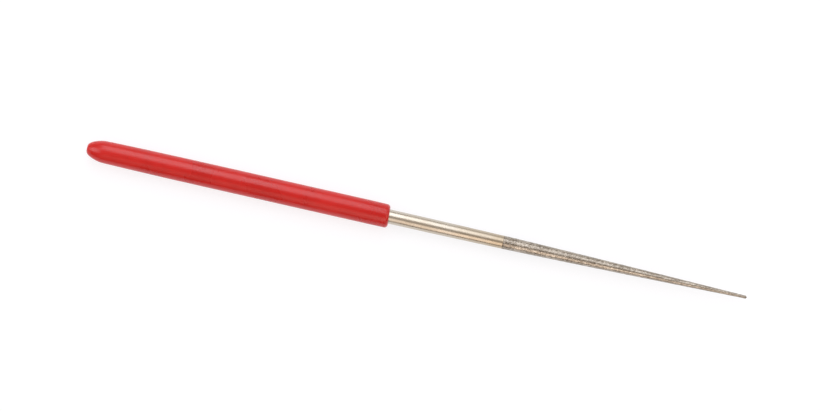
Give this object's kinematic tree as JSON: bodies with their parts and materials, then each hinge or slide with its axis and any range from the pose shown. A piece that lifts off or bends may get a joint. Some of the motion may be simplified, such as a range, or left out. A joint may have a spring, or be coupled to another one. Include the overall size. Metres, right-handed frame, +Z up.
{
  "type": "diamond needle file",
  "caption": "Round tapered needle file: a diamond-coated working part on a bright steel shank, with a dip-moulded soft plastic handle, for fine hand filing.",
  "frame": {"origin": "on the surface that the file lies on, straight below the middle of its length and its axis", "axes": "+X along the file's axis from the butt to the tip, +Z up from the surface that the handle rests on"},
  "size_m": [0.14, 0.005, 0.005],
  "materials": {
    "plated_steel": "ground round and bright nickel plated, fine marks round the shank",
    "diamond_grit": "fine diamond grit in electroplated nickel, matt and speckled",
    "red_vinyl": "dip-moulded PVC, soft gloss"
  },
  "bodies": {
    "root": {"steel_blank": "plated_steel", "diamond_coating": "diamond_grit", "handle_sleeve": "red_vinyl"}
  },
  "joints": []
}
